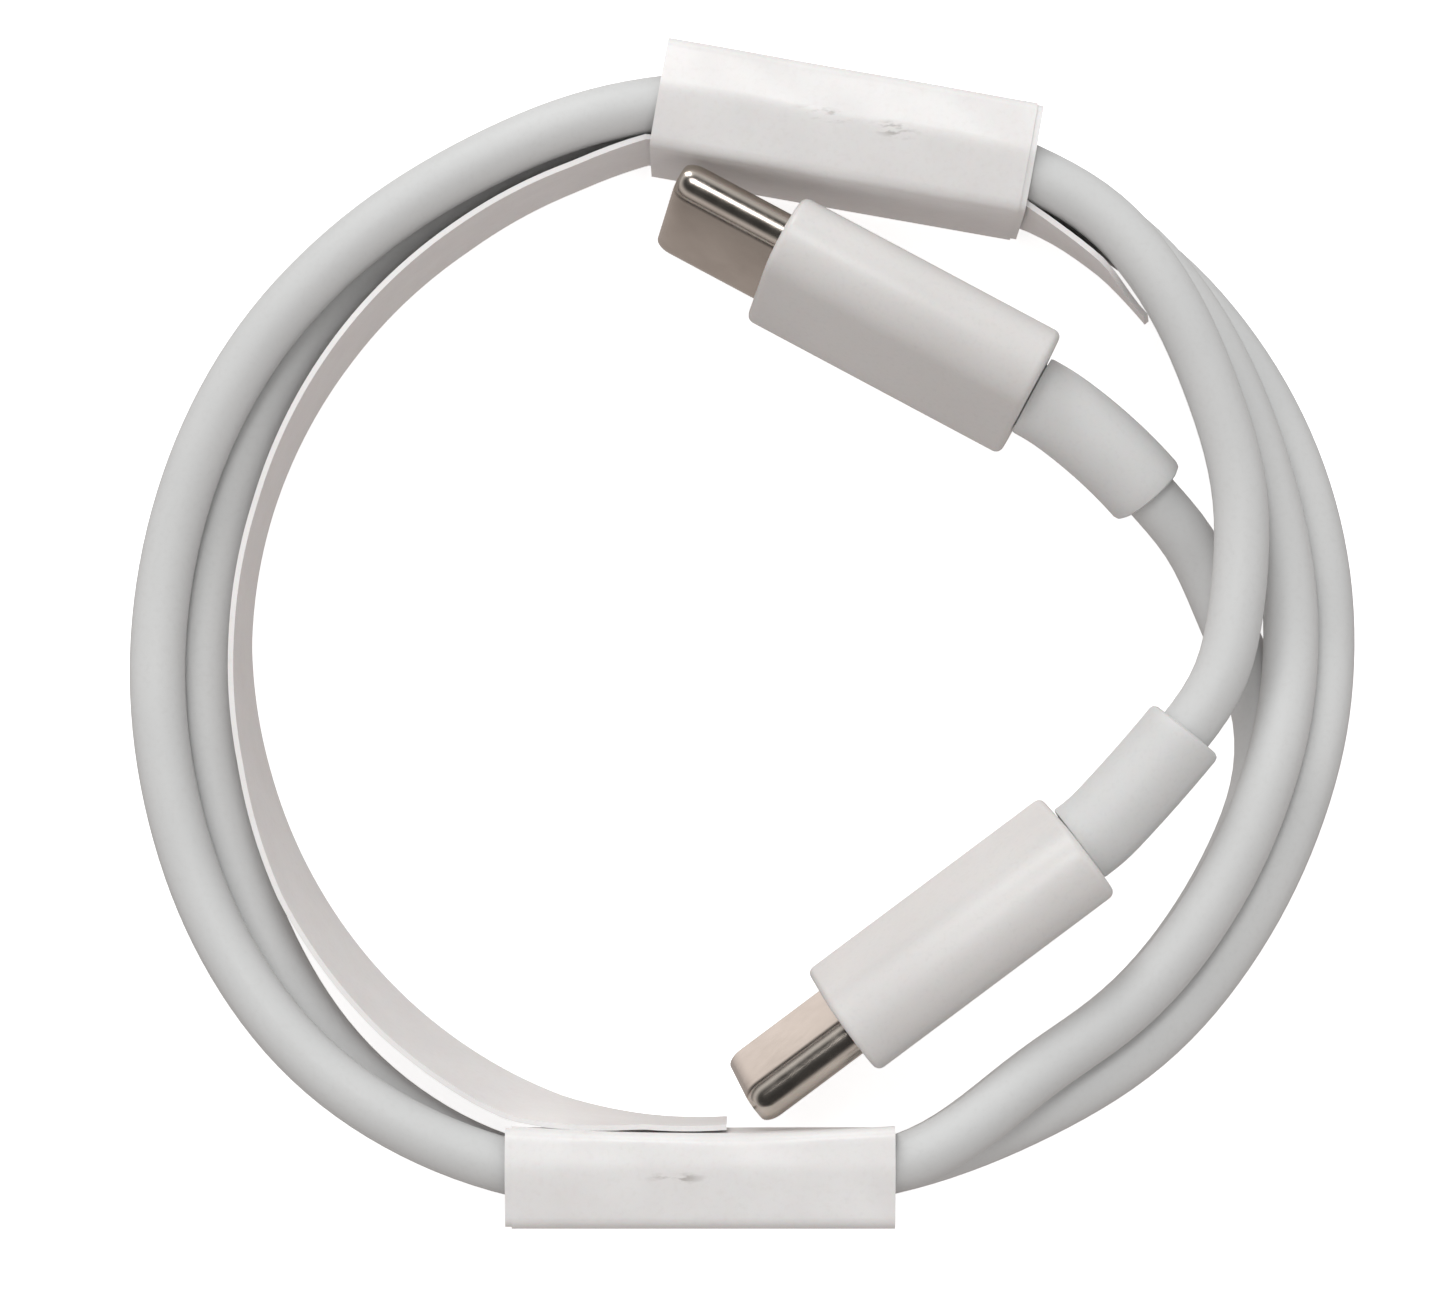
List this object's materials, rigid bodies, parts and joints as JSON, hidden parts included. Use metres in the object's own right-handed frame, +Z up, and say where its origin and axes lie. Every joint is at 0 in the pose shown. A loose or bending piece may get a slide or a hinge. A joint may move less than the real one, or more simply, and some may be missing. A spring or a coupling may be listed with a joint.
{
  "type": "charging cable",
  "caption": "Slim round charging cable coiled in a ring and held by a paper wrap, with a reversible oval connector plug on each end.",
  "frame": {"origin": "on the surface the cable lies on, below the middle of the box round the plugs and the paper wrap", "axes": "+Z up out of the ring; +Y from the lower paper sleeve to the upper one; +X towards the side where the ends of the cord cross the ring"},
  "size_m": [0.0692, 0.0662, 0.0113],
  "materials": {
    "jacket": "smooth matt light grey-white thermoplastic jacket",
    "paper": null,
    "housing": "white moulded plastic with a fine satin gloss",
    "strain_relief": "soft matt white thermoplastic",
    "plug_metal": "warm nickel-plated stainless steel, satin",
    "inner_metal": "bright tin-plated sheet",
    "insulator": "black moulded liquid-crystal polymer",
    "contacts": "gold-plated copper alloy",
    "circuit_board": "green solder mask",
    "chip": "black epoxy",
    "wire_power": "red wire insulation",
    "wire_ground": "black wire insulation",
    "wire_data_plus": "green wire insulation",
    "wire_data_minus": "white wire insulation",
    "wire_configuration": "blue wire insulation"
  },
  "bodies": {
    "coil_and_wrap": {"cord_coil": "jacket", "cord_tail_a": "jacket", "cord_tail_b": "jacket", "wrap_strip": "paper", "wrap_sleeve_top": "paper", "wrap_sleeve_bottom": "paper"},
    "plug_a": {"housing_a": "housing", "plug_shell_a": "plug_metal", "insulator_a": "insulator", "contact_row_upper_a": "contacts", "contact_row_lower_a": "contacts", "side_latch_left_a": "inner_metal", "side_latch_right_a": "inner_metal", "ground_spring_upper_a": "inner_metal", "ground_spring_lower_a": "inner_metal", "paddle_card_a": "circuit_board", "control_chip_a": "chip", "shield_can_upper_a": "inner_metal", "shield_can_lower_a": "inner_metal", "crimp_ring_a": "inner_metal", "wire_power_a": "wire_power", "wire_ground_a": "wire_ground", "wire_data_plus_a": "wire_data_plus", "wire_data_minus_a": "wire_data_minus", "wire_configuration_a": "wire_configuration", "strain_relief_a": "strain_relief", "cord_end_a": "jacket"},
    "plug_b": {"housing_b": "housing", "plug_shell_b": "plug_metal", "insulator_b": "insulator", "contact_row_upper_b": "contacts", "contact_row_lower_b": "contacts", "side_latch_left_b": "inner_metal", "side_latch_right_b": "inner_metal", "ground_spring_upper_b": "inner_metal", "ground_spring_lower_b": "inner_metal", "paddle_card_b": "circuit_board", "control_chip_b": "chip", "shield_can_upper_b": "inner_metal", "shield_can_lower_b": "inner_metal", "crimp_ring_b": "inner_metal", "wire_power_b": "wire_power", "wire_ground_b": "wire_ground", "wire_data_plus_b": "wire_data_plus", "wire_data_minus_b": "wire_data_minus", "wire_configuration_b": "wire_configuration", "strain_relief_b": "strain_relief", "cord_end_b": "jacket"}
  },
  "joints": [
    {"name": "cord_bend_a", "type": "hinge", "parent": "coil_and_wrap", "child": "plug_a", "pos_m": [0.02533, 0.00684, 0.00344], "axis": [0, 0, 1], "range_deg": [0, 25], "stiffness_Nm_per_rad": 0.002},
    {"name": "cord_bend_b", "type": "hinge", "parent": "coil_and_wrap", "child": "plug_b", "pos_m": [0.02698, -0.00414, 0.00731], "axis": [0, 0, 1], "range_deg": [-25, 0], "stiffness_Nm_per_rad": 0.002}
  ]
}
